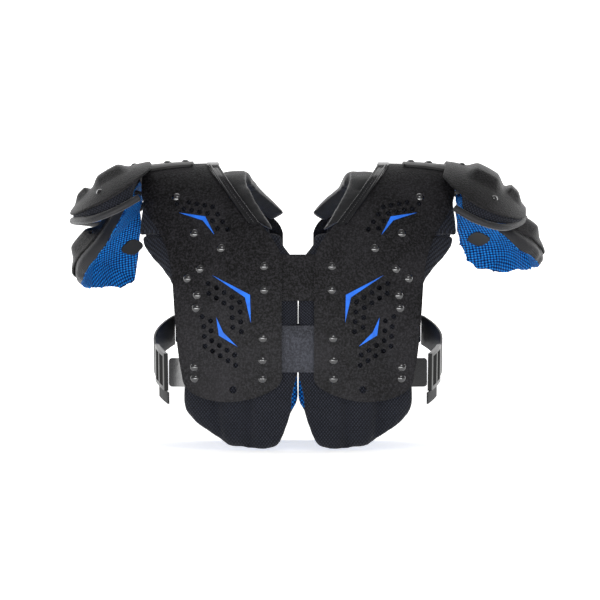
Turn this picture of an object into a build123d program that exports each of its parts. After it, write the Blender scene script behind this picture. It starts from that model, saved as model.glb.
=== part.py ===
"""Hard-shell shoulder pads: plastic arches, epaulets and caps over sewn body pads.

Frame: millimetres, +Z up, the chest faces -Y, the wearer's left is +X.
The origin lies on the ground plane, midway between the two sides of the torso.
"""
import os
from math import cos, radians, sin, sqrt

from build123d import *

os.makedirs("parts", exist_ok=True)

# ---------------------------------------------------------------- driving sizes
RIDGE_HEIGHT = 342.0          # inner face of the arch at the shoulder, above the pads' lower edge
RIDGE_DROP = 6.0              # how far the ridge falls from RIDGE_FLAT_SPAN to the form's end
RIDGE_FLAT_SPAN = 100.0
CHEST_HALF_DEPTH = 125.0      # inner face of the front plate, ahead of the middle of the shoulders
CHEST_HALF_SPAN = 245.0       # half width of the ellipse that the chest follows in plan
SPRING_HEIGHT = 120.0         # height at which the front plate starts to curve back
FORM_FLOOR = -20.0
FORM_HALF_WIDTH = 205.0
FORM_SECTIONS = 9
REACH = 260.0                 # depth of the cutters, beyond any part of the body

PLATE_THICKNESS = 3.0
LAYER_GAP = 0.3               # clearance between curved layers
BRIDGE_THICKNESS = 2.8
PAD_THICKNESS = 13.6
LINING_THICKNESS = 1.4
TRIM_THICKNESS = 1.6
INLAY_THICKNESS = 0.8
INLAY_GAP = 0.1
STRAP_THICKNESS = 2.4

BRIDGE_HALF_WIDTH = 60.0
BRIDGE_WIDTH = 55.0
BRIDGE_CORNER = 5.0
UPPER_BRIDGE_MIDDLE = 204.0
LOWER_BRIDGE_MIDDLE = 120.0

RIVET_HEAD_RADIUS = 5.2
RIVET_HEAD_HEIGHT = 2.6
RIVET_SHANK_RADIUS = 2.4
RIVET_CLEARANCE = 0.06
SHANK_MARGIN = 0.9            # shanks stop this far short of the pads
SHELL_RIVET_SCALE = 0.8       # epaulet and cap rivets against the plate rivets

VENT_RADIUS = 3.0
ACCESSORY_HOLE_RADIUS = 4.35

SEAM_HEIGHT = 256.0           # hem between the shoulder pad and the front and back pads
SEAM_GAP = 0.5

# Outlines are drawn in (u, z): u is the distance from the torso's middle plane, z the height.
SHELL_TOP = 400.0             # above the ridge, so that an outline runs over the shoulder
ARCH_EDGE = [(190, SHELL_TOP), (189, 318), (183, 287), (165, 257), (153, 226), (148, 186), (143, 125),
             (137, 88)]
ARCH_BOTTOM = [(137, 88), (132, 74), (115, 63), (73, 58), (33, 70), (22, 78), (19, 94)]
FRONT_NECK = [(19, 224), (24, 240), (47, 271), (72, 305), (97, 343), (99, SHELL_TOP)]
BACK_NECK = [(19, 262), (26, 276), (50, 292), (77, 314), (97, 343), (99, SHELL_TOP)]
TRIM_END_HEIGHT = 267.0
TRIM_WIDTH = 14.0

PAD_SIDE = [(189, SEAM_HEIGHT), (178, 232), (160, 208), (150, 186), (145, 150), (141, 110), (139, 64)]
PAD_LOBE = [(139, 64), (124, 31), (94, 10), (60, 0)]
PAD_FOOT = (34, 0)
PAD_INNER_LOBE = [(34, 0), (17, 10), (7, 34), (3.5, 60)]
PAD_NECK = [(3.5, 222), (12, 233), (24, SEAM_HEIGHT)]
SHOULDER_PAD_OUTER = 191.0
FRONT_ROLL_INNER = [(26, 257), (36, 272), (52, 300), (62, 325), (64, SHELL_TOP)]
BACK_ROLL_INNER = [(14, 286), (36, 306), (54, 325), (63, 343), (64, SHELL_TOP)]
ROLL_LOW = 264.0
ROLL_OVERLAP = 7.0            # how far the neck roll reaches under the arch
ROLL_TOP_OFFSET = -6.0
ROLL_BOTTOM_OFFSET = -26.0

# Vent rows: start, then (heading, count) steps; a heading is one pitch as (du, dz).
ALONG_TOP = (-9.6, -1.9)
DOWN_TOP = (-6.1, -9.1)
STEP_TOP = (-8.3, -6.4)
ALONG_MIDDLE = (-9.1, -5.6)
DOWN_MIDDLE = (-0.7, -11.6)
STEP_LOWER = (-10.0, -5.0)
VENT_ROWS = [
    ((130.6, 294.5), [(ALONG_TOP, 3), (DOWN_TOP, 3)]),
    ((145.0, 293.0), [(STEP_TOP, 1), (ALONG_TOP, 3), (DOWN_TOP, 2)]),
    ((96.0, 192.0), [(ALONG_MIDDLE, 3), (DOWN_MIDDLE, 3)]),
    ((106.0, 197.0), [(DOWN_MIDDLE, 1), (ALONG_MIDDLE, 3), (DOWN_MIDDLE, 2)]),
    ((113.0, 158.0), [(STEP_LOWER, 1), (DOWN_MIDDLE, 2), (ALONG_MIDDLE, 3)]),
    ((111.0, 146.3), [(DOWN_MIDDLE, 2), (ALONG_MIDDLE, 4)]),
]
CHEVRONS = [
    [(142.2, 282.0), (110.5, 277.2), (99.0, 254.9), (113.5, 272.4)],
    [(101.5, 207.0), (56.4, 183.7), (55.4, 150.7), (62.4, 180.7)],
    [(96.1, 157.0), (93.1, 135.8), (71.3, 122.8), (88.1, 139.7)],
]
UPPER_BRIDGE_RIVETS = [(40, UPPER_BRIDGE_MIDDLE + 14), (40, UPPER_BRIDGE_MIDDLE - 14)]
LOWER_BRIDGE_RIVETS = [(41.5, LOWER_BRIDGE_MIDDLE + 13), (42, LOWER_BRIDGE_MIDDLE - 13)]
TAB_RIVETS = [(123, 98.4), (122.5, 85.2)]
PLATE_RIVETS = [(146.4, 301.7), (123.6, 257.4), (91.2, 239.4), (116.4, 214.8), (131.4, 203.5),
                (119.6, 183.6), (120.8, 168.4), (42.1, 85.2)]
ACCESSORY_HOLE = (76.3, 72.0)

# Side straps: the front tab and the back anchor lie under the arch's outer edge
TAB_HEIGHT = 34.0
TAB_CORNER = 4.0
FRONT_TAB_MIDDLE = 92.0
BACK_TAB_MIDDLE = 140.0
TAB_INNER = 110.0
FRONT_TAB_OUTER = 153.0
BACK_TAB_OUTER = 154.6
SIDE_LINE = 156.2             # where the strap's arc meets its two ends
SIDE_BULGE = 19.0             # how far the strap stands out, midway, from the line between its ends
SIDE_STRAP_THICKNESS = 2.2
SIDE_STRAP_WIDTH = 38.0
BUCKLE_THICKNESS = 4.6
BUCKLE_WIDTH = 46.0
BUCKLE_LENGTH = 42.0
BUCKLE_WALL = 4.5
BUCKLE_BAR = 4.0
END_GAP = 0.4
TAIL_THICKNESS = 1.8
TAIL_WIDTH = 14.0
TAIL_LENGTH = 34.0

# Ridge straps that the epaulets hang on
RIDGE_STRAP_INNER = 128.0
RIDGE_STRAP_OUTER = 182.0
RIDGE_STRAP_WIDTH = 46.0
RIDGE_STRAP_CORNER = 4.0
RIDGE_STRAP_RIVETS = [(138, 0), (160, 0)]

# Epaulets: local u runs outwards from the hinge, y front to back, w up
EPAULET_HINGE = 181.0
EPAULET_LENGTH = 112.0
EPAULET_OUTLINE = [(0, 58), (18, 80), (56, 92), (92, 76), (EPAULET_LENGTH, 26)]
EPAULET_LIFT = 0.26           # slope of the crest at the hinge
EPAULET_DROOP = 0.0039        # how fast the crest curves down
EPAULET_CROSS_RADIUS = 156.0
EPAULET_FORM_HALF = 110.0
EPAULET_SECTIONS = [-0.1, 0.25, 0.6, 1.1]   # shares of the length
EPAULET_FLOOR = -140.0
EPAULET_THICKNESS = 2.6
EPAULET_PAD_INNER = 22.0
EPAULET_PAD_OUTER = 11.0
EPAULET_PAD_START = 192.8     # the pad's inner face, clear of the arch and the shoulder pad
EPAULET_RIVETS = [(20, 0), (68, -66), (68, 66)]
EPAULET_TILT = {"right": 22.0, "left": 20.0}
EPAULET_PITCH = {"right": 0.0, "left": 9.0}

# Caps: local p runs down the cap, y front to back, q out from it
CAP_HINGE = (196.0, 314.0)
CAP_CREST = [(-6, 1), (0, 4), (35, 12), (70, 20), (100, 26), (132, 14), (150, 4)]
CAP_RADIUS = 98.0
CAP_TOP = 4.0
CAP_FRONT_EDGE = [(-24, CAP_TOP), (-50, 42), (-62, 90), (-46, 122)]
CAP_BACK_EDGE = [(24, CAP_TOP), (54, 42), (73, 92), (58, 122)]
CAP_LOW = [(-46, 122), (6, 134), (58, 122)]
CAP_THICKNESS = 2.6
CAP_PAD_THICKNESS = 11.0
CAP_PAD_MARGIN = 6.0
CAP_PAD_START = 192.6         # the pad's inner face at the hinge's height, clear of the shoulder pad
CAP_PAD_SLANT = 5.0           # that face leans outwards, so that the cap can swing in
CAP_RIVETS = [(-18, 14), (-48, 68), (64, 76)]
PATCH_PLACE = (50.0, 74.0)
PATCH_SIZE = (18.0, 22.0)
PATCH_CORNER = 7.2
PATCH_THICKNESS = 1.0
CAP_TILT = {"right": 30.0, "left": 47.0}
CAP_YAW = 16.0

SIDES = {"right": -1, "left": 1}


# ---------------------------------------------------------------- the body's curve
def half_depth(x):
    """Distance of the front plate's inner face from the shoulders' middle, at x."""
    return CHEST_HALF_DEPTH * sqrt(1 - (x / CHEST_HALF_SPAN) ** 2)


def ridge_height(x):
    """Height of the arch's inner face at the shoulder, at x."""
    beyond = max(0.0, abs(x) - RIDGE_FLAT_SPAN) / (FORM_HALF_WIDTH - RIDGE_FLAT_SPAN)
    return RIDGE_HEIGHT - RIDGE_DROP * beyond ** 2


def torso_form(offset):
    """Solid whose skin follows the body, moved outwards by offset."""
    step = 2 * FORM_HALF_WIDTH / (FORM_SECTIONS - 1)
    with BuildPart() as form:
        for index in range(FORM_SECTIONS):
            x = index * step - FORM_HALF_WIDTH
            depth = half_depth(x) + offset
            rise = ridge_height(x) + offset - SPRING_HEIGHT
            with BuildSketch(Plane.YZ.offset(x)):
                with BuildLine():
                    Line((-depth, FORM_FLOOR), (depth, FORM_FLOOR))
                    Line((depth, FORM_FLOOR), (depth, SPRING_HEIGHT))
                    EllipticalCenterArc((0, SPRING_HEIGHT), depth, rise, start_angle=0, arc_size=180)
                    Line((-depth, SPRING_HEIGHT), (-depth, FORM_FLOOR))
                make_face()
        loft()
    return form.part


def body_layer(outer, inner):
    """Sheet between two offsets of the body's curve."""
    with BuildPart() as sheet:
        add(torso_form(outer))
        add(torso_form(inner), mode=Mode.SUBTRACT)
    return sheet.part


def mirrored(points):
    """Points of a (u, z) list on the wearer's right, where x = -u."""
    return [(-u, z) for u, z in points]


def arch_outline(neck):
    """Outline of the arch, seen from the front, for one side of the neck."""
    with BuildSketch(Plane.XZ) as outline:
        with BuildLine():
            Line(mirrored(ARCH_EDGE[:2]))
            Spline(mirrored(ARCH_EDGE[1:]))
            Spline(mirrored(ARCH_BOTTOM))
            Line(mirrored([ARCH_BOTTOM[-1], neck[0]]))
            Spline(mirrored(neck[:-1]))
            Line(mirrored(neck[-2:]))
            Line(mirrored([neck[-1], ARCH_EDGE[0]]))
        make_face()
    return outline.sketch


def neck_band(neck):
    """Strip along the neck edge, as wide as the trim."""
    edge = [(u + TRIM_WIDTH, z) for u, z in neck[1:]]
    inside = neck[1:]
    with BuildSketch(Plane.XZ) as strip:
        with BuildLine():
            Spline(mirrored(edge[:-1]))
            Line(mirrored(edge[-2:]))
            Line(mirrored([edge[-1], inside[-1]]))
            Line(mirrored(inside[-2:]))
            Spline(mirrored(inside[:-1]))
            Line(mirrored([inside[0], edge[0]]))
        make_face()
    return strip.sketch


def over_shoulder(front, back):
    """Cutter that keeps what front shows ahead of the ridge and back shows behind it."""
    with BuildPart() as cutter:
        with BuildSketch(Plane.XZ):
            add(front)
        extrude(amount=REACH)
        with BuildSketch(Plane.XZ):
            add(back)
        extrude(amount=-REACH)
    return cutter.part


def axis_to_face(u, z, face):
    """Line into the body along Y at (u, z): face is -1 for the front, 1 for the back."""
    return Axis((-u, face * REACH, z), (0, -face, 0))


def seat_plane(form, u, z, face):
    """Plane on the form's skin at (u, z) with its normal pointing out."""
    point, normal = form.find_intersection_points(axis_to_face(u, z, face))[0]
    if normal.Y * face < 0:
        normal = normal * -1
    return Plane(origin=point, z_dir=normal)


def drop_plane(form, x, y):
    """Seat plane on a form, found from above."""
    point, normal = form.find_intersection_points(Axis((x, y, RIDGE_HEIGHT + REACH), (0, 0, -1)))[0]
    return Plane(origin=point, z_dir=normal if normal.Z > 0 else normal * -1)


def vent_points():
    """Centres of the vent holes as (u, z)."""
    points = []
    for start, steps in VENT_ROWS:
        u, z = start
        points.append((u, z))
        for (du, dz), count in steps:
            for _ in range(count):
                u += du
                z += dz
                points.append((u, z))
    return points


# ---------------------------------------------------------------- sheets of the body's curve
PAD_TOP = -(LAYER_GAP + BRIDGE_THICKNESS + LAYER_GAP)
PAD_BOTTOM = PAD_TOP - PAD_THICKNESS
LINING_TOP = PAD_BOTTOM - LAYER_GAP
plate_form = torso_form(PLATE_THICKNESS)
plate_sheet = body_layer(PLATE_THICKNESS, 0)
bridge_sheet = body_layer(-LAYER_GAP, -LAYER_GAP - BRIDGE_THICKNESS)
pad_sheet = body_layer(PAD_TOP, PAD_BOTTOM)
lining_sheet = body_layer(LINING_TOP, LINING_TOP - LINING_THICKNESS)
roll_sheet = body_layer(ROLL_TOP_OFFSET, ROLL_BOTTOM_OFFSET)
trim_sheet = body_layer(PLATE_THICKNESS + LAYER_GAP + TRIM_THICKNESS, PLATE_THICKNESS + LAYER_GAP)
inlay_sheet = body_layer(PLATE_THICKNESS + INLAY_GAP + INLAY_THICKNESS, PLATE_THICKNESS + INLAY_GAP)
ridge_strap_sheet = body_layer(PLATE_THICKNESS + LAYER_GAP + STRAP_THICKNESS, PLATE_THICKNESS + LAYER_GAP)


def save(part, name):
    """Label a finished piece and write its file."""
    part.label = name
    export_step(part, f"parts/{name}.step")


def save_pair(part, name):
    """Write a piece made for the wearer's right, and its mirror image for the left."""
    save(part, f"right_{name}")
    save(mirror(part, about=Plane.YZ), f"left_{name}")


# ---------------------------------------------------------------- rivets
def rivet_sites(face):
    """Seat planes of the rivets on one side's front (-1) or back (1) plate."""
    places = UPPER_BRIDGE_RIVETS + LOWER_BRIDGE_RIVETS + TAB_RIVETS + PLATE_RIVETS
    return [seat_plane(plate_form, u, z, face) for u, z in places]


def make_rivet(shank_length, scale=1.0):
    """Domed rivet with its seat on the XY plane and its shank running down."""
    head_radius = RIVET_HEAD_RADIUS * scale
    head_height = RIVET_HEAD_HEIGHT * scale
    dome_radius = (head_radius ** 2 + head_height ** 2) / (2 * head_height)
    low = (Align.CENTER, Align.CENTER, Align.MIN)
    high = (Align.CENTER, Align.CENTER, Align.MAX)
    with BuildPart() as rivet:
        with Locations((0, 0, INLAY_GAP)):
            Cylinder(head_radius, 2 * head_height, align=low)
        with Locations((0, 0, INLAY_GAP + head_height - dome_radius)):
            Sphere(dome_radius, mode=Mode.INTERSECT)
        with Locations((0, 0, INLAY_GAP)):
            Cylinder(RIVET_SHANK_RADIUS * scale, shank_length + INLAY_GAP, align=high)
    return rivet.part


def make_rivets(sites, shank_length, scale=1.0):
    """Group of domed rivets, one on each seat plane."""
    rivet = make_rivet(shank_length, scale)
    with BuildPart() as rivets:
        with Locations(*sites):
            add(rivet)
    return rivets.part


def make_drills(sites, scale=1.0):
    """Cutter for the rivets' holes."""
    with BuildPart() as drills:
        for site in sites:
            with BuildSketch(site):
                Circle(RIVET_SHANK_RADIUS * scale + RIVET_CLEARANCE)
            extrude(amount=RIVET_HEAD_RADIUS * 2, both=True)
    return drills.part


front_sites = rivet_sites(SIDES["right"])
back_sites = rivet_sites(SIDES["left"])
all_drills = make_drills(front_sites + back_sites)
RIVET_REACH = PLATE_THICKNESS - PAD_TOP - SHANK_MARGIN
ridge_form = torso_form(PLATE_THICKNESS + LAYER_GAP + STRAP_THICKNESS)
ridge_sites = [drop_plane(ridge_form, -u, y) for u, y in RIDGE_STRAP_RIVETS]
ridge_drills = make_drills(ridge_sites)


# ---------------------------------------------------------------- arches and what is on them
def make_arch():
    with BuildPart() as arch:
        add(plate_sheet)
        add(over_shoulder(arch_outline(FRONT_NECK), arch_outline(BACK_NECK)), mode=Mode.INTERSECT)
        add(all_drills, mode=Mode.SUBTRACT)
        add(ridge_drills, mode=Mode.SUBTRACT)
        with BuildSketch(Plane.XZ):
            with Locations(mirrored(vent_points())):
                Circle(VENT_RADIUS)
        extrude(amount=REACH, mode=Mode.SUBTRACT)
        hole = seat_plane(plate_form, *ACCESSORY_HOLE, -1)
        with BuildSketch(hole):
            Circle(ACCESSORY_HOLE_RADIUS)
        extrude(amount=RIVET_HEAD_RADIUS * 2, both=True, mode=Mode.SUBTRACT)
    return arch.part


def make_neck_trim():
    """Flat strip sewn along the neck edge, front and back."""
    with BuildPart() as trim:
        add(trim_sheet)
        add(over_shoulder(neck_band(FRONT_NECK), neck_band(BACK_NECK)), mode=Mode.INTERSECT)
        with BuildSketch(Plane.XY.offset(TRIM_END_HEIGHT)):
            with Locations((-FORM_HALF_WIDTH / 2, -REACH / 2)):
                Rectangle(FORM_HALF_WIDTH, REACH)
        extrude(amount=-REACH, mode=Mode.SUBTRACT)
        with BuildSketch(Plane.XY.offset(BACK_NECK[2][1])):
            with Locations((-FORM_HALF_WIDTH / 2, REACH / 2)):
                Rectangle(FORM_HALF_WIDTH, REACH)
        extrude(amount=-REACH, mode=Mode.SUBTRACT)
    return trim.part


def make_chevrons():
    """Thin coloured arrows bonded to the front plate."""
    with BuildPart() as chevrons:
        add(inlay_sheet)
        with BuildSketch(Plane.XZ):
            for points in CHEVRONS:
                with BuildLine():
                    Polyline(mirrored(points), close=True)
                make_face()
        extrude(amount=REACH, mode=Mode.INTERSECT)
    return chevrons.part


def make_ridge_strap():
    """Short strap riveted over the ridge, which the epaulet hangs on."""
    with BuildPart() as strap:
        add(ridge_strap_sheet)
        with BuildSketch(Plane.XY.offset(RIDGE_HEIGHT / 2)):
            with Locations((-(RIDGE_STRAP_INNER + RIDGE_STRAP_OUTER) / 2, 0)):
                RectangleRounded(RIDGE_STRAP_OUTER - RIDGE_STRAP_INNER, RIDGE_STRAP_WIDTH,
                                 RIDGE_STRAP_CORNER)
        extrude(amount=RIDGE_HEIGHT, mode=Mode.INTERSECT)
        add(ridge_drills, mode=Mode.SUBTRACT)
    return strap.part


def make_bridge(middle, face):
    """Plate across the breastbone or the spine, under both arches."""
    with BuildPart() as bridge:
        add(bridge_sheet)
        with BuildSketch(Plane.XZ):
            with Locations((0, middle)):
                RectangleRounded(2 * BRIDGE_HALF_WIDTH, BRIDGE_WIDTH, BRIDGE_CORNER)
        extrude(amount=-face * REACH, mode=Mode.INTERSECT)
        add(all_drills, mode=Mode.SUBTRACT)
        add(mirror(all_drills, about=Plane.YZ), mode=Mode.SUBTRACT)
    return bridge.part


def make_tab(face, middle, outer):
    """Tab under the arch's lower outer edge, which the side strap ends at."""
    with BuildPart() as tab:
        add(bridge_sheet)
        with BuildSketch(Plane.XZ):
            with Locations((-(TAB_INNER + outer) / 2, middle)):
                RectangleRounded(outer - TAB_INNER, TAB_HEIGHT, TAB_CORNER)
        extrude(amount=-face * REACH, mode=Mode.INTERSECT)
        add(all_drills, mode=Mode.SUBTRACT)
    return tab.part


# ---------------------------------------------------------------- body pads
def pad_outline():
    """Lower pad, from the hem down to its rounded foot."""
    with BuildSketch(Plane.XZ) as outline:
        with BuildLine():
            Spline(mirrored(PAD_SIDE))
            Spline(mirrored(PAD_LOBE), tangents=[(0, -1), (1, 0)])
            Line(mirrored([PAD_LOBE[-1], PAD_FOOT]))
            Spline(mirrored(PAD_INNER_LOBE), tangents=[(1, 0), (0, 1)])
            Line(mirrored([PAD_INNER_LOBE[-1], PAD_NECK[0]]))
            Spline(mirrored(PAD_NECK))
            Line(mirrored([PAD_NECK[-1], PAD_SIDE[0]]))
        make_face()
    return outline.sketch


def shoulder_outline(neck):
    """Shoulder pad, from the hem up over the ridge, clear of the neck roll."""
    edge = [(u + ROLL_OVERLAP + SEAM_GAP, z) for u, z in neck if z > ROLL_LOW]
    low = SEAM_HEIGHT + SEAM_GAP
    with BuildSketch(Plane.XZ) as outline:
        with BuildLine():
            Line(mirrored([(SHOULDER_PAD_OUTER, low), (edge[0][0], low)]))
            Line(mirrored([(edge[0][0], low), edge[0]]))
            Spline(mirrored(edge[:-1]))
            Line(mirrored(edge[-2:]))
            Line(mirrored([edge[-1], (SHOULDER_PAD_OUTER, SHELL_TOP)]))
            Line(mirrored([(SHOULDER_PAD_OUTER, SHELL_TOP), (SHOULDER_PAD_OUTER, low)]))
        make_face()
    return outline.sketch


def roll_outline(neck, inner):
    """Band between the neck roll's inner line and where it reaches under the arch."""
    edge = [(u + ROLL_OVERLAP, z) for u, z in neck if z > ROLL_LOW]
    with BuildSketch(Plane.XZ) as outline:
        with BuildLine():
            Spline(mirrored(edge[:-1]))
            Line(mirrored(edge[-2:]))
            Line(mirrored([edge[-1], inner[-1]]))
            Line(mirrored(inner[-2:]))
            Spline(mirrored(inner[:-1]))
            Line(mirrored([inner[0], edge[0]]))
        make_face()
    return outline.sketch


def make_lower_pad(sheet, face):
    with BuildPart() as pad:
        add(sheet)
        with BuildSketch(Plane.XZ):
            add(pad_outline())
        extrude(amount=-face * REACH, mode=Mode.INTERSECT)
    return pad.part


def make_shoulder_pad(sheet):
    with BuildPart() as pad:
        add(sheet)
        add(over_shoulder(shoulder_outline(FRONT_NECK), shoulder_outline(BACK_NECK)), mode=Mode.INTERSECT)
    return pad.part


def make_neck_roll():
    with BuildPart() as roll:
        add(roll_sheet)
        add(over_shoulder(roll_outline(FRONT_NECK, FRONT_ROLL_INNER),
                          roll_outline(BACK_NECK, BACK_ROLL_INNER)), mode=Mode.INTERSECT)
    return roll.part


# ---------------------------------------------------------------- side straps
def side_frame():
    """Plane that the left strap lies across: it rises towards the back."""
    reach = half_depth(SIDE_LINE)
    rise = BACK_TAB_MIDDLE - FRONT_TAB_MIDDLE
    middle = (BACK_TAB_MIDDLE + FRONT_TAB_MIDDLE) / 2
    return Plane(origin=(0, 0, middle), x_dir=(1, 0, 0), z_dir=(0, -rise, 2 * reach))


def side_band(frame, start, end, thickness, low, high):
    """Band along the strap's arc, from y start to y end, between two heights across it."""
    reach = half_depth(SIDE_LINE) / cos(radians(SIDE_SLOPE))
    radius = (reach ** 2 + SIDE_BULGE ** 2) / (2 * SIDE_BULGE)
    centre = SIDE_LINE + SIDE_BULGE - radius
    with BuildPart() as band:
        with BuildSketch(frame.offset(low)):
            with Locations((centre, 0)):
                Circle(radius + thickness / 2)
                Circle(radius - thickness / 2, mode=Mode.SUBTRACT)
            with Locations((SIDE_LINE, (start + end) / 2)):
                Rectangle(REACH / 2, end - start, mode=Mode.INTERSECT)
        extrude(amount=high - low)
    return band.part


SIDE_SLOPE = side_frame().z_dir.get_angle(Vector(0, 0, 1))
STRAP_REACH = half_depth(SIDE_LINE) / cos(radians(SIDE_SLOPE)) - END_GAP
BUCKLE_FRONT = -STRAP_REACH
BUCKLE_BACK = BUCKLE_FRONT + BUCKLE_LENGTH


def make_side_strap(frame):
    """Elastic strap from the back anchor to the buckle's rear bar."""
    with BuildPart() as strap:
        add(side_band(frame, BUCKLE_BACK + END_GAP, STRAP_REACH, SIDE_STRAP_THICKNESS,
                      -SIDE_STRAP_WIDTH / 2, SIDE_STRAP_WIDTH / 2))
    return strap.part


def make_buckle(frame):
    """Slotted buckle frame with a middle bar."""
    half = BUCKLE_WIDTH / 2
    inside = half - BUCKLE_WALL
    window = (BUCKLE_LENGTH - 2 * BUCKLE_WALL - BUCKLE_BAR) / 2
    with BuildPart() as buckle:
        add(side_band(frame, BUCKLE_FRONT, BUCKLE_BACK, BUCKLE_THICKNESS, -half, half))
        for start in (BUCKLE_FRONT + BUCKLE_WALL, BUCKLE_FRONT + BUCKLE_WALL + window + BUCKLE_BAR):
            add(side_band(frame, start, start + window, 2 * BUCKLE_THICKNESS, -inside, inside),
                mode=Mode.SUBTRACT)
    return buckle.part


def make_strap_tail(frame):
    """Loose end of the webbing, below the buckle."""
    top = -BUCKLE_WIDTH / 2 - LAYER_GAP
    with BuildPart() as tail:
        add(side_band(frame, BUCKLE_FRONT - TAIL_WIDTH / 2, BUCKLE_FRONT - TAIL_WIDTH / 2 + TAIL_LENGTH,
                      TAIL_THICKNESS, top - TAIL_WIDTH, top))
    return tail.part


# ---------------------------------------------------------------- epaulets
def epaulet_crest(u):
    """Height of the epaulet's outer face on its middle line."""
    return EPAULET_LIFT * u - EPAULET_DROOP * u * u


def epaulet_form(offset, inner=0.0, outer=0.0):
    """Solid under the epaulet's curve, moved up by offset and down by inner to outer along it."""
    radius = EPAULET_CROSS_RADIUS + offset
    edge_drop = radius - sqrt(radius ** 2 - EPAULET_FORM_HALF ** 2)
    with BuildPart() as form:
        for share in EPAULET_SECTIONS:
            u = share * EPAULET_LENGTH
            top = epaulet_crest(u) + offset - inner - (outer - inner) * share
            with BuildSketch(Plane.YZ.offset(u)):
                with BuildLine():
                    ThreePointArc((-EPAULET_FORM_HALF, top - edge_drop), (0, top),
                                  (EPAULET_FORM_HALF, top - edge_drop))
                    Polyline((EPAULET_FORM_HALF, top - edge_drop), (EPAULET_FORM_HALF, EPAULET_FLOOR),
                             (-EPAULET_FORM_HALF, EPAULET_FLOOR), (-EPAULET_FORM_HALF, top - edge_drop))
                make_face()
        loft()
    return form.part


def epaulet_outline():
    front = [(u, -y) for u, y in EPAULET_OUTLINE]
    back = EPAULET_OUTLINE
    with BuildSketch(Plane.XY.offset(EPAULET_FLOOR)) as outline:
        with BuildLine():
            Spline(front)
            Spline(back)
            Line(front[0], back[0])
            Line(front[-1], back[-1])
        make_face()
    return outline.sketch


def epaulet_frame(side):
    """Plane of the left epaulet's local axes, with that side's tilt and pitch."""
    tilt = radians(EPAULET_TILT[side])
    pitch = radians(EPAULET_PITCH[side])
    outward = Vector(cos(tilt), 0, -sin(tilt))
    upward = Vector(sin(tilt), 0, cos(tilt)) * cos(pitch) + Vector(0, -sin(pitch), 0)
    strap_top = ridge_height(EPAULET_HINGE) + PLATE_THICKNESS + LAYER_GAP + STRAP_THICKNESS
    height = strap_top + LAYER_GAP + EPAULET_THICKNESS
    return Plane(origin=(EPAULET_HINGE, 0, height), x_dir=outward, z_dir=upward)


epaulet_sites = [drop_plane(epaulet_form(0), u, y) for u, y in EPAULET_RIVETS]
epaulet_drills = make_drills(epaulet_sites, SHELL_RIVET_SCALE)
SHELL_SHANK = EPAULET_THICKNESS + LAYER_GAP - INLAY_GAP


def make_epaulet():
    with BuildPart() as epaulet:
        add(epaulet_form(0))
        add(epaulet_form(-EPAULET_THICKNESS), mode=Mode.SUBTRACT)
        with BuildSketch(Plane.XY.offset(EPAULET_FLOOR)):
            add(epaulet_outline())
        extrude(amount=REACH, mode=Mode.INTERSECT)
        add(epaulet_drills, mode=Mode.SUBTRACT)
    return epaulet.part


def make_epaulet_pad(frame):
    """Padded underlay, thicker towards the hinge, cut upright beside the arch."""
    top = -EPAULET_THICKNESS - LAYER_GAP
    arch_side = frame.location.inverse() * Pos(EPAULET_PAD_START - REACH / 2, 0, RIDGE_HEIGHT) \
        * Box(REACH, 2 * REACH, REACH)
    with BuildPart() as pad:
        add(epaulet_form(top))
        add(epaulet_form(top, EPAULET_PAD_INNER, EPAULET_PAD_OUTER), mode=Mode.SUBTRACT)
        with BuildSketch(Plane.XY.offset(EPAULET_FLOOR)):
            add(epaulet_outline())
        extrude(amount=REACH, mode=Mode.INTERSECT)
        add(arch_side, mode=Mode.SUBTRACT)
    return pad.part


# ---------------------------------------------------------------- caps
def cap_form(offset):
    """Solid inside the cap's curve: half discs stacked down local -Z, crest along +X."""
    radius = CAP_RADIUS + offset
    with BuildPart() as form:
        for p, crest in CAP_CREST:
            centre = crest - CAP_RADIUS
            with BuildSketch(Plane.XY.offset(-p)):
                with BuildLine():
                    ThreePointArc((centre, -radius), (centre + radius, 0), (centre, radius))
                    Line((centre, radius), (centre, -radius))
                make_face()
        loft()
    return form.part


def grown(points, margin):
    """Points (y, p) of the cap's edge moved out by margin, the more so the lower they are."""
    low = CAP_LOW[0][1] - CAP_TOP
    moved = []
    for y, p in points:
        if y < 0:
            y -= margin
        elif y > CAP_LOW[1][0]:
            y += margin
        moved.append((y, -p - margin * (p - CAP_TOP) / low))
    return moved


def cap_outline(margin):
    """Outline of the cap in (y, p), grown by margin except at its top edge."""
    front = grown(CAP_FRONT_EDGE, margin)
    back = grown(CAP_BACK_EDGE, margin)
    with BuildSketch(Plane.YZ.offset(-CAP_RADIUS)) as outline:
        with BuildLine():
            Spline(front)
            Spline(back)
            Spline(grown(CAP_LOW, margin))
            Line(front[0], back[0])
        make_face()
    return outline.sketch


def cap_frame(side):
    """Plane of the left cap's local axes, with that side's tilt."""
    tilt = radians(CAP_TILT[side])
    upright = Plane(origin=(CAP_HINGE[0], 0, CAP_HINGE[1]), x_dir=(cos(tilt), 0, sin(tilt)),
                    z_dir=(-sin(tilt), 0, cos(tilt)))
    return upright.rotated((0, 0, CAP_YAW))


def cap_sheet(outer, inner, margin):
    """Part of the cap's layers between two offsets, inside its outline."""
    with BuildPart() as sheet:
        add(cap_form(outer))
        add(cap_form(inner), mode=Mode.SUBTRACT)
        extrude(to_extrude=cap_outline(margin), amount=REACH, dir=(1, 0, 0), mode=Mode.INTERSECT)
    return sheet.part


def cap_rivet_plane(y, p):
    """Seat plane on the cap's shell, found from outside."""
    point, normal = cap_form(0).find_intersection_points(Axis((REACH, y, -p), (-1, 0, 0)))[0]
    return Plane(origin=point, z_dir=normal if normal.X > 0 else normal * -1)


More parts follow.
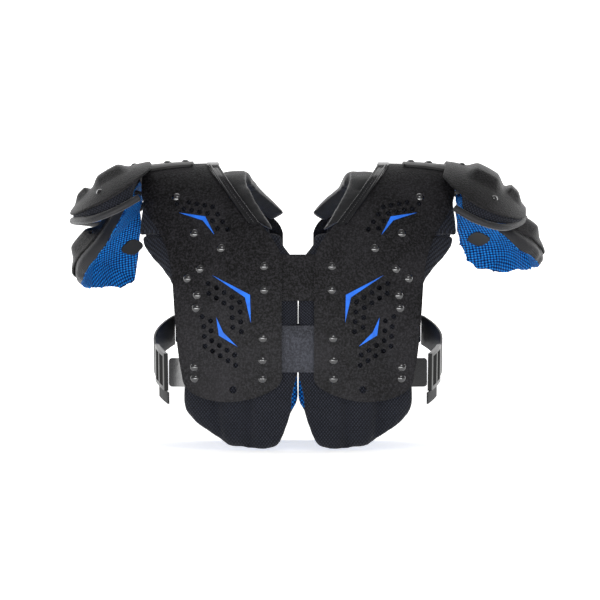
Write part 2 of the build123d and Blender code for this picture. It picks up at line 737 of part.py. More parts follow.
cap_sites = [cap_rivet_plane(y, p) for y, p in CAP_RIVETS]
cap_drills = make_drills(cap_sites, SHELL_RIVET_SCALE)
CAP_PAD_TOP = -CAP_THICKNESS - LAYER_GAP
CAP_PAD_BOTTOM = CAP_PAD_TOP - CAP_PAD_THICKNESS
CAP_LINING_TOP = CAP_PAD_BOTTOM - LAYER_GAP
CAP_LINING_BOTTOM = CAP_LINING_TOP - LINING_THICKNESS


def make_cap():
    with BuildPart() as cap:
        add(cap_sheet(0, -CAP_THICKNESS, 0))
        add(cap_drills, mode=Mode.SUBTRACT)
    return cap.part


def make_cap_padding(outer, inner, frame):
    """Padding inside the cap, cut clear of the shoulder pad."""
    arm_side = frame.location.inverse() * Pos(CAP_PAD_START, 0, CAP_HINGE[1]) * Rot(0, -CAP_PAD_SLANT, 0) \
        * Pos(-REACH / 2, 0, 0) * Box(REACH, 2 * REACH, 2 * REACH)
    with BuildPart() as padding:
        add(cap_sheet(outer, inner, CAP_PAD_MARGIN))
        add(arm_side, mode=Mode.SUBTRACT)
    return padding.part


def make_cap_patch():
    """Rounded patch stitched to the cap's lining, towards the back."""
    top = CAP_LINING_BOTTOM - LAYER_GAP
    with BuildPart() as patch:
        add(cap_form(top))
        add(cap_form(top - PATCH_THICKNESS), mode=Mode.SUBTRACT)
        with BuildSketch(Plane.YZ.offset(-CAP_RADIUS)):
            with Locations((PATCH_PLACE[0], -PATCH_PLACE[1])):
                RectangleRounded(*PATCH_SIZE, PATCH_CORNER)
        extrude(amount=REACH, mode=Mode.INTERSECT)
    return patch.part


save_pair(make_arch(), "arch")
save_pair(make_neck_trim(), "neck_trim")
save_pair(make_chevrons(), "chevrons")
save_pair(make_ridge_strap(), "ridge_strap")
save_pair(make_rivets(ridge_sites, RIVET_REACH), "ridge_rivets")
save_pair(make_rivets(front_sites, RIVET_REACH), "front_rivets")
save_pair(make_rivets(back_sites, RIVET_REACH), "back_rivets")
save_pair(make_tab(-1, FRONT_TAB_MIDDLE, FRONT_TAB_OUTER), "buckle_tab")
save_pair(make_tab(1, BACK_TAB_MIDDLE, BACK_TAB_OUTER), "strap_anchor")
save(make_bridge(UPPER_BRIDGE_MIDDLE, -1), "front_upper_bridge")
save(make_bridge(LOWER_BRIDGE_MIDDLE, -1), "front_lower_bridge")
save(make_bridge(UPPER_BRIDGE_MIDDLE, 1), "back_upper_bridge")
save(make_bridge(LOWER_BRIDGE_MIDDLE, 1), "back_lower_bridge")
save_pair(make_lower_pad(pad_sheet, -1), "front_pad")
save_pair(make_lower_pad(pad_sheet, 1), "back_pad")
save_pair(make_lower_pad(lining_sheet, -1), "front_lining")
save_pair(make_lower_pad(lining_sheet, 1), "back_lining")
save_pair(make_shoulder_pad(pad_sheet), "shoulder_pad")
save_pair(make_neck_roll(), "neck_roll")


side = side_frame()
for make, name in [(make_side_strap, "side_strap"), (make_buckle, "buckle"), (make_strap_tail, "strap_tail")]:
    save(make(side), f"left_{name}")
    save(mirror(make(side), about=Plane.YZ), f"right_{name}")


def save_placed(part, frame, name, side_name):
    """Set a local piece in its frame on the left, and mirror it if it is the right one."""
    placed = frame.location * part
    if side_name == "right":
        placed = mirror(placed, about=Plane.YZ)
    save(placed, f"{side_name}_{name}")


for side_name in SIDES:
    frame = epaulet_frame(side_name)
    save_placed(make_epaulet(), frame, "epaulet", side_name)
    save_placed(make_epaulet_pad(frame), frame, "epaulet_pad", side_name)
    save_placed(make_rivets(epaulet_sites, SHELL_SHANK, SHELL_RIVET_SCALE), frame, "epaulet_rivets", side_name)
    frame = cap_frame(side_name)
    save_placed(make_cap(), frame, "cap", side_name)
    save_placed(make_cap_padding(CAP_PAD_TOP, CAP_PAD_BOTTOM, frame), frame, "cap_pad", side_name)
    save_placed(make_cap_padding(CAP_LINING_TOP, CAP_LINING_BOTTOM, frame), frame, "cap_lining", side_name)
    save_placed(make_rivets(cap_sites, SHELL_SHANK, SHELL_RIVET_SCALE), frame, "cap_rivets", side_name)
    save_placed(make_cap_patch(), frame, "cap_patch", side_name)
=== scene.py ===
"""Looks of the hard-shell shoulder pads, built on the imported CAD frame. Metres, +Z up, the chest faces -Y."""

import math

import bmesh
import bpy
import numpy as np
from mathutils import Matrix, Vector, noise


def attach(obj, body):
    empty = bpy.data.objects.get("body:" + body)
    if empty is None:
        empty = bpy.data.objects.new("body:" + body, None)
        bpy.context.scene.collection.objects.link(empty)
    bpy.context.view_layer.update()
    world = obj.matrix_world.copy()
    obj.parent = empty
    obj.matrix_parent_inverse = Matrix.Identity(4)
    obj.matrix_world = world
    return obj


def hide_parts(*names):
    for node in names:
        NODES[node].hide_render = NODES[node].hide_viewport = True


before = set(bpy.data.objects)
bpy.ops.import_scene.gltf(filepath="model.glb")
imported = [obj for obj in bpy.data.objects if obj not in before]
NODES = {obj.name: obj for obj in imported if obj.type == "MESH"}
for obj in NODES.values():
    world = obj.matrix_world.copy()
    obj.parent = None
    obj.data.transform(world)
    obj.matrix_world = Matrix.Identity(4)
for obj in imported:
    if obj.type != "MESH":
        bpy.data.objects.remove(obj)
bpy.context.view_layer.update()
SIDES = {"left": 1, "right": -1}
MM = 0.001

# ------------------------------------------------------------- sizes shared with the CAD, in metres
CHEST_HALF_DEPTH = 0.125
CHEST_HALF_SPAN = 0.245
SPRING_HEIGHT = 0.120
RIDGE_HEIGHT = 0.342
RIDGE_DROP = 0.006
RIDGE_FLAT_SPAN = 0.100
FORM_HALF_WIDTH = 0.205
EPAULET_HINGE = (0.181, 0.0, 0.34703)
EPAULET_LENGTH = 0.112
EPAULET_OUTLINE = [(0.0, 0.058), (0.018, 0.080), (0.056, 0.092), (0.092, 0.076), (0.112, 0.026)]
EPAULET_LIFT = 0.26
EPAULET_DROOP = 3.9
EPAULET_CROSS_RADIUS = 0.156
EPAULET_TILT = {"right": 22.0, "left": 20.0}
EPAULET_PITCH = {"right": 0.0, "left": 9.0}
CAP_HINGE = (0.196, 0.0, 0.314)
CAP_TILT = {"right": 30.0, "left": 47.0}
CAP_YAW = 16.0
CAP_RADIUS = 0.098
CAP_CREST = [(-6, 1), (0, 4), (35, 12), (70, 20), (100, 26), (132, 14), (150, 4)]


# ------------------------------------------------------------- the body's curve and the local frames
def half_depth(x):
    return CHEST_HALF_DEPTH * np.sqrt(1 - (x / CHEST_HALF_SPAN) ** 2)


def ridge_height(x):
    beyond = np.maximum(0, np.abs(x) - RIDGE_FLAT_SPAN) / (FORM_HALF_WIDTH - RIDGE_FLAT_SPAN)
    return RIDGE_HEIGHT - RIDGE_DROP * beyond ** 2


def on_body(x, z, offset, face):
    """Point of the body's curve moved out by offset, at x and height z, on the front (-1) or the back (1)."""
    depth = half_depth(x) + offset
    rise = ridge_height(x) + offset - SPRING_HEIGHT
    up = np.clip((z - SPRING_HEIGHT) / rise, 0, 1)
    return Vector((x, face * float(depth * np.sqrt(1 - up ** 2)), z))


def epaulet_axes(side):
    """Origin and axes (outwards, back, up) of one epaulet."""
    tilt, pitch = math.radians(EPAULET_TILT[side]), math.radians(EPAULET_PITCH[side])
    out = np.array([math.cos(tilt), 0, -math.sin(tilt)])
    up = np.array([math.sin(tilt) * math.cos(pitch), -math.sin(pitch), math.cos(tilt) * math.cos(pitch)])
    out -= up * out.dot(up)
    out /= np.linalg.norm(out)
    axes = np.array([out, np.cross(up, out), up])
    return placed_axes(side, EPAULET_HINGE, axes)


def cap_axes(side):
    """Origin and axes (outwards, back, along the cap towards the hinge) of one cap."""
    tilt, yaw = math.radians(CAP_TILT[side]), math.radians(CAP_YAW)
    out = np.array([math.cos(tilt), 0, math.sin(tilt)])
    along = np.array([-math.sin(tilt), 0, math.cos(tilt)])
    back = np.cross(along, out)
    turned = out * math.cos(yaw) + back * math.sin(yaw)
    axes = np.array([turned, np.cross(along, turned), along])
    return placed_axes(side, CAP_HINGE, axes)


def placed_axes(side, origin, axes):
    flip = np.array([SIDES[side], 1, 1])
    return np.array(origin) * flip, axes * flip


def to_local(points, frame_axes):
    origin, axes = frame_axes
    return (points - origin) @ axes.T


def to_world(local, frame_axes):
    origin, axes = frame_axes
    return local @ axes + origin


def smooth_step(values, start, end):
    t = np.clip((values - start) / (end - start), 0, 1)
    return t * t * (3 - 2 * t)


# ------------------------------------------------------------- mesh helpers
def coordinates(mesh):
    co = np.zeros(len(mesh.vertices) * 3)
    mesh.vertices.foreach_get("co", co)
    return co.reshape(-1, 3)


def normals(mesh):
    values = np.zeros(len(mesh.vertices) * 3)
    mesh.vertices.foreach_get("normal", values)
    return values.reshape(-1, 3)


def set_coordinates(mesh, points):
    mesh.vertices.foreach_set("co", points.astype(np.float32).ravel())
    mesh.update()


def new_object(name, mesh):
    piece = bpy.data.objects.new(name, mesh)
    bpy.context.scene.collection.objects.link(piece)
    return piece


def evaluated_mesh(piece):
    graph = bpy.context.evaluated_depsgraph_get()
    return bpy.data.meshes.new_from_object(piece.evaluated_get(graph))


def bake_modifiers(piece):
    mesh = evaluated_mesh(piece)
    old = piece.data
    piece.modifiers.clear()
    piece.data = mesh
    bpy.data.meshes.remove(old)


def shade_smooth(mesh):
    mesh.polygons.foreach_set("use_smooth", [True] * len(mesh.polygons))
    mesh.update()


def remeshed(name, node, voxel):
    """New object with a CAD node's shape in even quads."""
    piece = new_object(name, NODES[node].data.copy())
    piece.data.materials.clear()
    modifier = piece.modifiers.new("remesh", "REMESH")
    modifier.mode = "VOXEL"
    modifier.voxel_size = voxel
    bake_modifiers(piece)
    return piece


def relaxed(piece, factor, rounds):
    modifier = piece.modifiers.new("smooth", "SMOOTH")
    modifier.factor = factor
    modifier.iterations = rounds
    bake_modifiers(piece)


CLOTH_FRAMES = 20
CLOTH_MASS = 0.3
CLOTH_STIFFNESS = 12
CLOTH_BENDING = 0.6


def inflate(piece, limit, shrink, pressure=4.0):
    """Cloth pressure swells the piece from a slightly smaller shape, no further than limit."""
    mesh = piece.data
    start = coordinates(mesh) - normals(mesh) * shrink
    set_coordinates(mesh, start)
    cloth = piece.modifiers.new("cloth", "CLOTH")
    cloth.settings.quality = 4
    cloth.settings.mass = CLOTH_MASS
    cloth.settings.tension_stiffness = CLOTH_STIFFNESS
    cloth.settings.compression_stiffness = CLOTH_STIFFNESS
    cloth.settings.bending_stiffness = CLOTH_BENDING
    cloth.settings.use_pressure = True
    cloth.settings.uniform_pressure_force = pressure
    cloth.settings.effector_weights.gravity = 0
    cloth.collision_settings.use_collision = False
    cloth.point_cache.frame_start = 1
    cloth.point_cache.frame_end = CLOTH_FRAMES
    scene = bpy.context.scene
    for step in range(1, CLOTH_FRAMES + 1):
        scene.frame_set(step)
    swollen = coordinates(evaluated_mesh(piece))
    piece.modifiers.clear()
    scene.frame_set(1)
    move = swollen - start
    length = np.linalg.norm(move, axis=1, keepdims=True)
    move *= np.minimum(1, limit / np.maximum(length, 1e-9))
    set_coordinates(mesh, start + move)


def subdivided(piece):
    modifier = piece.modifiers.new("subdivision", "SUBSURF")
    modifier.levels = 1
    modifier.render_levels = 1
    bake_modifiers(piece)


def push(piece, distance):
    """Moves each point along its normal by its own distance."""
    mesh = piece.data
    set_coordinates(mesh, coordinates(mesh) + normals(mesh) * distance[:, None])


def fold_noise(points, scale, seed):
    """Smooth noise between -1 and 1, with its own scale along each axis."""
    scaled = points * np.array(scale) + seed
    return np.array([noise.noise(Vector(p)) for p in scaled])


def store_weave(piece, values):
    """Keeps the cloth's own coordinates, so that the weave follows the surface."""
    layer = piece.data.attributes.new("weave", "FLOAT_VECTOR", "POINT")
    layer.data.foreach_set("vector", values.astype(np.float32).ravel())


TURN_RADIUS = 0.17            # of the cloth's path over the shoulder, for its weave


def torso_weave(points):
    up = np.arctan2(points[:, 2] - SPRING_HEIGHT, np.abs(points[:, 1]))
    along = np.where(up > 0, SPRING_HEIGHT + TURN_RADIUS * up, points[:, 2])
    return np.stack([points[:, 0], along, points[:, 1]], axis=1)


def smooth_line(points, steps):
    """Points along a smooth line through the given ones."""
    points = np.array(points, float)
    ends = np.vstack([2 * points[0] - points[1], points, 2 * points[-1] - points[-2]])
    line = []
    for a, b, c, d in zip(ends[:-3], ends[1:-2], ends[2:-1], ends[3:]):
        for t in np.arange(steps) / steps:
            line.append(0.5 * (2 * b + (c - a) * t + (2 * a - 5 * b + 4 * c - d) * t ** 2
                               + (3 * b - a - 3 * c + d) * t ** 3))
    line.append(points[-1])
    return np.array(line)


def tube(name, points, radius):
    """Round cord along smooth points, as a mesh."""
    curve = bpy.data.curves.new(name, "CURVE")
    curve.dimensions = "3D"
    spline = curve.splines.new("NURBS")
    spline.points.add(len(points) - 1)
    for place, point in zip(spline.points, points):
        place.co = (*point, 1)
    spline.order_u = 3
    spline.use_endpoint_u = True
    curve.bevel_depth = radius
    curve.bevel_resolution = 3
    curve.resolution_u = 6
    curve.use_fill_caps = True
    holder = new_object(name + "_line", curve)
    mesh = evaluated_mesh(holder)
    bpy.data.objects.remove(holder)
    shade_smooth(mesh)
    return new_object(name, mesh)


STITCH_LENGTH = 0.0022
STITCH_GAP = 0.0012
STITCH_RADIUS = 0.00035
STITCH_RINGS = ((0.0, 0.35), (0.2, 0.9), (0.5, 1.1), (0.8, 0.9), (1.0, 0.35))    # share of the length, thickness
STITCH_ANGLES = (0, 1.05, 2.09, 3.14, 4.19, 5.24)


def stitches(name, points, ups):
    """Row of thread stitches along a line of points, lying on the surface whose normals are ups."""
    bm = bmesh.new()
    run = 0.0
    for start, end, up in zip(points[:-1], points[1:], ups[:-1]):
        step = end - start
        run += step.length
        if run < STITCH_LENGTH + STITCH_GAP:
            continue
        run = 0.0
        along = step.normalized()
        across = along.cross(up).normalized()
        rings = []
        for share, size in STITCH_RINGS:
            centre = start + along * (STITCH_LENGTH * (share - 0.5))
            ring = [bm.verts.new(centre + (across * math.cos(a) + up * math.sin(a)) * STITCH_RADIUS * size)
                    for a in STITCH_ANGLES]
            rings.append(ring)
        for low, high in zip(rings[:-1], rings[1:]):
            for i in range(len(low)):
                after = (i + 1) % len(low)
                bm.faces.new((low[i], low[after], high[after], high[i]))
        bm.faces.new(rings[0][::-1])
        bm.faces.new(rings[-1])
    mesh = bpy.data.meshes.new(name)
    bm.to_mesh(mesh)
    bm.free()
    shade_smooth(mesh)
    return new_object(name, mesh)


# ------------------------------------------------------------- materials
WAVE_SCALE = 0.31416          # gives stripes one unit apart
GRAIN = 430                   # scale of the moulded plastics' grain


class Shader:
    """Small helper to wire one node material."""

    def __init__(self, name, color, roughness, specular=0.5, coat=0.0, sheen=0.0):
        self.material = bpy.data.materials.new(name)
        self.material.use_nodes = True
        self.tree = self.material.node_tree
        self.shader = self.tree.nodes["Principled BSDF"]
        self.shader.inputs["Base Color"].default_value = (*color, 1)
        self.shader.inputs["Roughness"].default_value = roughness
        self.shader.inputs["Specular IOR Level"].default_value = specular
        self.shader.inputs["Coat Weight"].default_value = coat
        self.shader.inputs["Coat Roughness"].default_value = 0.15
        self.shader.inputs["Sheen Weight"].default_value = sheen
        self.bump_out = None
        self.place = self.node("ShaderNodeTexCoord").outputs["Object"]

    def node(self, kind, **settings):
        made = self.tree.nodes.new(kind)
        for key, value in settings.items():
            setattr(made, key, value)
        return made

    def link(self, a, b):
        self.tree.links.new(a, b)

    def noise(self, scale, detail=4.0, rough=0.55):
        made = self.node("ShaderNodeTexNoise")
        made.inputs["Scale"].default_value = scale
        made.inputs["Detail"].default_value = detail
        made.inputs["Roughness"].default_value = rough
        self.link(self.place, made.inputs["Vector"])
        return made.outputs["Fac"]

    def cells(self, scale, place=None, randomness=1.0, dimensions="3D"):
        made = self.node("ShaderNodeTexVoronoi", voronoi_dimensions=dimensions, feature="F1")
        made.inputs["Scale"].default_value = scale
        made.inputs["Randomness"].default_value = randomness
        self.link(place or self.place, made.inputs["Vector"])
        return made.outputs["Distance"]

    def ramp(self, value, stops):
        made = self.node("ShaderNodeValToRGB")
        ramp = made.color_ramp
        while len(ramp.elements) < len(stops):
            ramp.elements.new(0.5)
        for element, (position, color) in zip(ramp.elements, stops):
            element.position = position
            element.color = (*color, 1) if len(color) == 3 else (color[0],) * 3 + (1,)
        self.link(value, made.inputs["Fac"])
        return made.outputs["Color"]

    def mix(self, fac, a, b, mode="MIX"):
        made = self.node("ShaderNodeMix", data_type="RGBA", blend_type=mode)
        for value, index in ((fac, 0), (a, 6), (b, 7)):
            if hasattr(value, "links"):
                self.link(value, made.inputs[index])
            elif index == 0:
                made.inputs[0].default_value = value
            else:
                made.inputs[index].default_value = (*value, 1)
        return made.outputs[2]

    def color(self, value):
        self.link(value, self.shader.inputs["Base Color"])

    def roughness(self, value, low, high):
        made = self.node("ShaderNodeMapRange")
        made.inputs["To Min"].default_value = low
        made.inputs["To Max"].default_value = high
        self.link(value, made.inputs["Value"])
        self.link(made.outputs["Result"], self.shader.inputs["Roughness"])

    def bump(self, value, distance, strength=1.0):
        made = self.node("ShaderNodeBump")
        made.inputs["Strength"].default_value = strength
        made.inputs["Distance"].default_value = distance
        self.link(value, made.inputs["Height"])
        if self.bump_out is not None:
            self.link(self.bump_out, made.inputs["Normal"])
        self.bump_out = made.outputs["Normal"]
        self.link(self.bump_out, self.shader.inputs["Normal"])

    def weave_place(self, pitch, stretch=(1, 1)):
        """Lattice coordinates: one unit per pitch, turned so that the rows are staggered."""
        source = self.node("ShaderNodeAttribute", attribute_name="weave").outputs["Vector"]
        made = self.node("ShaderNodeMapping")
        made.inputs["Rotation"].default_value = (0, 0, math.radians(45))
        scaled = self.node("ShaderNodeVectorMath", operation="MULTIPLY")
        scaled.inputs[1].default_value = (stretch[0] / pitch, stretch[1] / pitch, 0)
        self.link(source, scaled.inputs[0])
        self.link(scaled.outputs["Vector"], made.inputs["Vector"])
        return made.outputs["Vector"]

    def wave(self, place, direction):
        """Stripes one unit apart along X or Y of place."""
        made = self.node("ShaderNodeTexWave", wave_type="BANDS", bands_direction=direction)
        made.inputs["Scale"].default_value = WAVE_SCALE
        made.inputs["Distortion"].default_value = 0.0
        self.link(place, made.inputs["Vector"])
        return made.outputs["Fac"]


def grained_plastic(name, dark, light, roughness, depth, specular):
    """Matt moulded plastic with a fine grain, speckled from dark to light."""
    made = Shader(name, dark, roughness[0], specular=specular)
    fine = made.noise(GRAIN, 5.0, 0.7)
    cloud = made.noise(14.0, 3.0)
    speckle = made.ramp(fine, [(0.44, dark), (0.62, light)])
    worn = made.mix(made.ramp(cloud, [(0.45, (0,)), (0.75, (0.35,))]), speckle, [c * 1.6 for c in light])
    made.color(worn)
    made.roughness(cloud, *roughness)
    made.bump(fine, depth, 0.9)
    made.bump(made.cells(GRAIN * 0.7), depth * 0.7, 0.5)
    return made.material


def gloss_plastic(name, color, roughness, specular, coat=0.0):
    """Smooth plastic, leather or metal with a slight unevenness."""
    made = Shader(name, color, roughness, specular=specular, coat=coat)
    cloud = made.noise(60.0, 3.0)
    made.color(made.ramp(cloud, [(0.3, color), (0.8, [c * 1.8 for c in color])]))
    made.roughness(cloud, roughness * 0.7, roughness * 1.8)
    made.bump(made.noise(90.0, 2.0), 0.0003, 0.25)
    return made.material


def mesh_cloth(name, stops, pitch, depth, roughness, sheen, stretch=(1, 1)):
    """Knitted mesh: a staggered lattice of raised dots with holes between them."""
    made = Shader(name, stops[0][1], roughness, specular=0.15, sheen=sheen)
    made.shader.inputs["Sheen Roughness"].default_value = 0.5
    place = made.weave_place(pitch, stretch)
    wobble = made.noise(160.0, 2.0)
    dots = made.cells(1.0, place, randomness=0.12, dimensions="2D")
    base = made.ramp(dots, stops)
    shade = made.noise(26.0, 4.0)
    made.color(made.mix(made.ramp(shade, [(0.35, (0.0,)), (0.8, (0.75,))]), base,
                        made.mix(1.0, base, (0.45, 0.5, 0.55), "MULTIPLY")))
    made.roughness(wobble, roughness - 0.12, roughness + 0.15)
    round_dots = made.ramp(dots, [(0.0, (1,)), (0.35, (0.8,)), (0.62, (0.0,))])
    made.bump(round_dots, depth, 1.0)
    made.bump(made.noise(1500.0, 2.0), 0.0003, 0.35)
    return made.material


def plain_cloth(name, dark, light, roughness, thread, sheen, wrinkle):
    """Close cloth with fine crossing threads and soft folds."""
    made = Shader(name, dark, roughness, specular=0.35, sheen=sheen)
    made.shader.inputs["Sheen Roughness"].default_value = 0.4
    place = made.weave_place(thread)
    across, along = made.wave(place, "X"), made.wave(place, "Y")
    threads = made.mix(1.0, across, along, "MULTIPLY")
    cloud = made.noise(30.0, 5.0)
    tone = made.mix(cloud, dark, light)
    made.color(made.mix(0.35, tone, made.mix(1.0, tone, threads, "MULTIPLY")))
    made.roughness(cloud, roughness - 0.1, roughness + 0.12)
    made.bump(threads, 0.00025, 0.6)
    made.bump(made.noise(55.0, 4.0), wrinkle, 0.6)
    return made.material


MATERIALS = {name: maker(name, **settings) for name, maker, settings in [
    ("arch_shell", grained_plastic, dict(
        dark=(0.001, 0.001, 0.001), light=(0.022, 0.021, 0.024), roughness=(0.40, 0.55), depth=0.0006,
        specular=0.14)),
    ("moulded_shell", grained_plastic, dict(
        dark=(0.001, 0.001, 0.001), light=(0.020, 0.019, 0.021), roughness=(0.36, 0.50), depth=0.0007,
        specular=0.17)),
    # painted light: this plastic is coloured lighter than the arches' to stand in for the light that the lower
    # bridges catch from below
    ("bridge_plastic", grained_plastic, dict(
        dark=(0.014, 0.015, 0.019), light=(0.048, 0.050, 0.062), roughness=(0.5, 0.65), depth=0.0005,
        specular=0.16)),
    ("gloss_trim", gloss_plastic, dict(color=(0.003, 0.003, 0.004), roughness=0.10, specular=0.5, coat=0.3)),
    ("rivet", gloss_plastic, dict(color=(0.003, 0.003, 0.004), roughness=0.08, specular=0.8, coat=1.0)),
    ("buckle", gloss_plastic, dict(color=(0.002, 0.002, 0.002), roughness=0.1, specular=0.35)),
    ("inlay", gloss_plastic, dict(color=(0.010, 0.105, 0.52), roughness=0.45, specular=0.3)),
    ("strap_leather", gloss_plastic, dict(color=(0.005, 0.005, 0.005), roughness=0.3, specular=0.4)),
    ("spacer_mesh", mesh_cloth, dict(
        stops=[(0.0, (0.046, 0.051, 0.066)), (0.22, (0.018, 0.020, 0.029)), (0.42, (0.007, 0.008, 0.013)),
               (0.6, (0.002, 0.002, 0.004))],
        pitch=0.0026, depth=0.0008, roughness=0.7, sheen=0.06, stretch=(1.0, 0.8))),
    ("blue_mesh", mesh_cloth, dict(
        stops=[(0.0, (0.03, 0.42, 0.95)), (0.25, (0.006, 0.24, 0.78)), (0.45, (0.001, 0.07, 0.33)),
               (0.60, (0.0, 0.003, 0.02))],
        pitch=0.0036, depth=0.0016, roughness=0.6, sheen=0.0)),
    ("nylon", plain_cloth, dict(
        dark=(0.006, 0.006, 0.008), light=(0.014, 0.014, 0.017), roughness=0.45, thread=0.0008, sheen=0.12,
        wrinkle=0.0014)),
    ("elastic", plain_cloth, dict(
        dark=(0.003, 0.003, 0.004), light=(0.008, 0.008, 0.010), roughness=0.4, thread=0.0016, sheen=0.0,
        wrinkle=0.0002)),
    ("webbing", plain_cloth, dict(
        dark=(0.004, 0.004, 0.005), light=(0.010, 0.010, 0.012), roughness=0.6, thread=0.0018, sheen=0.05,
        wrinkle=0.0002)),
    ("binding", plain_cloth, dict(
        dark=(0.011, 0.011, 0.013), light=(0.022, 0.022, 0.026), roughness=0.5, thread=0.0010, sheen=0.3,
        wrinkle=0.0006)),
    ("thread", plain_cloth, dict(
        dark=(0.02, 0.02, 0.022), light=(0.045, 0.045, 0.05), roughness=0.6, thread=0.0004, sheen=0.3,
        wrinkle=0.0002)),
]}


def dress(piece, material, body):
    piece.data.materials.clear()
    piece.data.materials.append(MATERIALS[material])
    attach(piece, body)
    return piece


# ------------------------------------------------------------- hard plates, rivets, straps: the CAD's own shapes
def bevelled(piece, width):
    """Rounds the piece's sharp edges."""
    modifier = piece.modifiers.new("edges", "BEVEL")
    modifier.width = width
    modifier.segments = 2
    modifier.limit_method = "ANGLE"
    return modifier


def finish_node(node, material, bevel):
    piece = NODES[node]
    piece.data.materials.clear()
    piece.data.materials.append(MATERIALS[material])
    if bevel:
        modifier = bevelled(piece, bevel)
        modifier.angle_limit = math.radians(35)
        modifier.use_clamp_overlap = True
        modifier.harden_normals = True


for side in SIDES:
    for node, material, bevel in [
        ("arch", "arch_shell", 0.0006), ("chevrons", "inlay", 0), ("ridge_strap", "strap_leather", 0.0004),
        ("ridge_rivets", "rivet", 0), ("front_rivets", "rivet", 0), ("back_rivets", "rivet", 0),
        ("epaulet_rivets", "rivet", 0), ("cap_rivets", "rivet", 0), ("buckle_tab", "gloss_trim", 0.0004),
        ("strap_anchor", "gloss_trim", 0.0004), ("neck_trim", "gloss_trim", 0.0004),
        ("cap_patch", "strap_leather", 0.0003), ("buckle", "buckle", 0.0007),
    ]:
        finish_node(f"{side}_{node}", material, bevel)
for node in ("front_upper_bridge", "back_upper_bridge"):
    finish_node(node, "arch_shell", 0.0005)
# the lower bridges get the lighter plastic, whose colour paints the light they catch from below
for node in ("front_lower_bridge", "back_lower_bridge"):
    finish_node(node, "bridge_plastic", 0.0005)


# ------------------------------------------------------------- bead and stitching on the neck trim
SLOPE_STEP = 0.0001           # rise over which the trim's direction is measured
FRONT_NECK = [(0.024, 0.240), (0.047, 0.271), (0.072, 0.305), (0.097, 0.343)]
TRIM_TOP = 0.0049
TRIM_LOW = 0.2685
TRIM_HIGH = 0.3405


def neck_line(side, inset, offset, count):
    """Points and normals along the front neck edge, inset from it, on the trim."""
    line = smooth_line(FRONT_NECK, 20)
    heights = np.linspace(TRIM_LOW, TRIM_HIGH, count)
    places = np.interp(heights, line[:, 1], line[:, 0]) + inset
    points = [on_body(SIDES[side] * x, z, offset, -1) for x, z in zip(places, heights)]
    ups = []
    for x, z in zip(places, heights):
        here, out = on_body(SIDES[side] * x, z, 0.0, -1), on_body(SIDES[side] * x, z + SLOPE_STEP, 0.0, -1)
        along = (out - here).normalized()
        ups.append(Vector((0, -along.z, along.y)).normalized())
    return points, ups


# Cords along the trim: inset from the neck edge, lift above the trim, number of points, radius.
TRIM_CORDS = [("bead", 0.0115, 0.0006, 40, 0.0017), ("rim", 0.0018, 0.0004, 30, 0.0011)]
SEAM_INSET = 0.0065
SEAM_LIFT = 0.0001
SEAM_POINTS = 400

for side in SIDES:
    for word, inset, lift, count, radius in TRIM_CORDS:
        points, _ = neck_line(side, inset, TRIM_TOP + lift, count)
        dress(tube(f"{side}_trim_{word}", points, radius), "gloss_trim", "root")
    seam = stitches(f"{side}_trim_stitches", *neck_line(side, SEAM_INSET, TRIM_TOP + SEAM_LIFT, SEAM_POINTS))
    store_weave(seam, coordinates(seam.data))
    dress(seam, "thread", "root")


# ------------------------------------------------------------- pads on the torso
VOXEL = 0.0045
PAD_CHANNELS = (0.058, 0.098)     # sewn channels of the lower pads, from the middle plane
CHANNEL_DEPTH = 0.0048
CHANNEL_WIDTH = 0.0055
CHANNEL_LEAN = 0.10               # how far the outer channel turns inwards, per metre below LEAN_START
LEAN_START = 0.07
PAD_FOLD = 0.0009
LOBE_TOP = (0.05, 0.075)          # heights between which the lobes' swell fades out
LOBE_MIDDLE = 0.078
LOBE_WIDTH = 0.020
LOBE_SWELL = 0.0016
LOBE_WAVE = 0.0008
PAD_HEM = 0.256
HEM_ROLL = 0.0008
HEM_REACH = 0.0006                # the lower pads and the shoulder pad are sewn edge to edge
MIDDLE_GAP = 0.0002               # left between the two halves' pads along the middle
MIDDLE_BLEND = 0.028              # how far from the middle the pads are drawn in
MIDDLE_CLOSED_FROM = {-1: (0.055, 0.100), 1: (0.020, 0.060)}
GAP_HEIGHTS = (0.10, 0.20)         # between which the gap is measured


def grooves(distances, depth, width):
    return -depth * np.exp(-(distances / width) ** 2)


